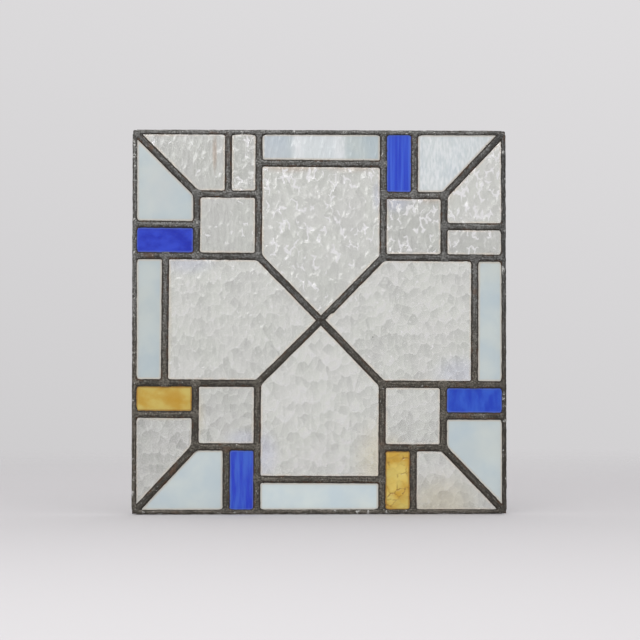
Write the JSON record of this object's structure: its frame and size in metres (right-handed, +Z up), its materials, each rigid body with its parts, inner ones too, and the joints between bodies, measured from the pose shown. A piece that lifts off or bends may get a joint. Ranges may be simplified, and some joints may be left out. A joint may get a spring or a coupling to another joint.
{
  "type": "stained glass window panel",
  "caption": "Leaded glass panel: clear figured, opal, blue and amber panes held by lead came in a border lead, to be set upright in a window opening.",
  "frame": {"origin": "middle of the bottom edge, halfway through the lead's depth", "axes": "+Z up the panel, +X to the right seen from the front, +Y through the panel from its front to its back"},
  "size_m": [0.374, 0.007, 0.384],
  "materials": {
    "border_lead": "dull dark grey lead with a worn, tinned surface",
    "came_lead": "dull dark grey lead with a worn, tinned surface and dark cement along its edges",
    "clear_glass": "clear figured glass with a wavy, scaled face",
    "opal_glass": "smooth pale blue-white opal glass",
    "blue_glass": "streaky cobalt blue glass",
    "amber_glass": "wispy amber glass"
  },
  "bodies": {
    "root": {"border_lead_bottom": "border_lead", "border_lead_left": "border_lead", "border_lead_right": "border_lead", "border_lead_top": "border_lead", "corner_lead_lower_left": "came_lead", "corner_lead_lower_right": "came_lead", "corner_lead_upper_left": "came_lead", "corner_lead_upper_right": "came_lead", "cross_lead_lower_right": "came_lead", "rail_block_lower_left": "blue_glass", "rail_block_lower_right": "amber_glass", "rail_block_upper_left": "clear_glass", "rail_block_upper_right": "blue_glass", "rail_rib_lower_left": "came_lead", "rail_rib_lower_right": "came_lead", "rail_rib_upper_left": "came_lead", "rail_rib_upper_right": "came_lead", "rail_wedge_lower_left": "opal_glass", "rail_wedge_lower_right": "clear_glass", "rail_wedge_upper_left": "clear_glass", "rail_wedge_upper_right": "opal_glass", "square_lead_lower_left": "came_lead", "square_lead_lower_right": "came_lead", "square_lead_upper_left": "came_lead", "square_lead_upper_right": "came_lead", "square_pane_lower_left": "clear_glass", "square_pane_lower_right": "clear_glass", "square_pane_upper_left": "clear_glass", "square_pane_upper_right": "clear_glass", "star_lead_falling": "came_lead", "star_lead_lower_left": "came_lead", "star_lead_upper_right": "came_lead", "star_pane_bottom": "clear_glass", "star_pane_left": "clear_glass", "star_pane_right": "clear_glass", "star_pane_top": "clear_glass", "stile_block_lower_left": "amber_glass", "stile_block_lower_right": "blue_glass", "stile_block_upper_left": "blue_glass", "stile_block_upper_right": "clear_glass", "stile_rib_lower_left": "came_lead", "stile_rib_lower_right": "came_lead", "stile_rib_upper_left": "came_lead", "stile_rib_upper_right": "came_lead", "stile_wedge_lower_left": "clear_glass", "stile_wedge_lower_right": "opal_glass", "stile_wedge_upper_left": "opal_glass", "stile_wedge_upper_right": "clear_glass", "strip_lead_bottom": "came_lead", "strip_lead_left": "came_lead", "strip_lead_right": "came_lead", "strip_lead_top": "came_lead", "strip_pane_bottom": "opal_glass", "strip_pane_left": "opal_glass", "strip_pane_right": "opal_glass", "strip_pane_top": "opal_glass", "upright_lead_lower_left": "came_lead", "upright_lead_lower_right": "came_lead", "upright_lead_upper_left": "came_lead", "upright_lead_upper_right": "came_lead"}
  },
  "joints": []
}
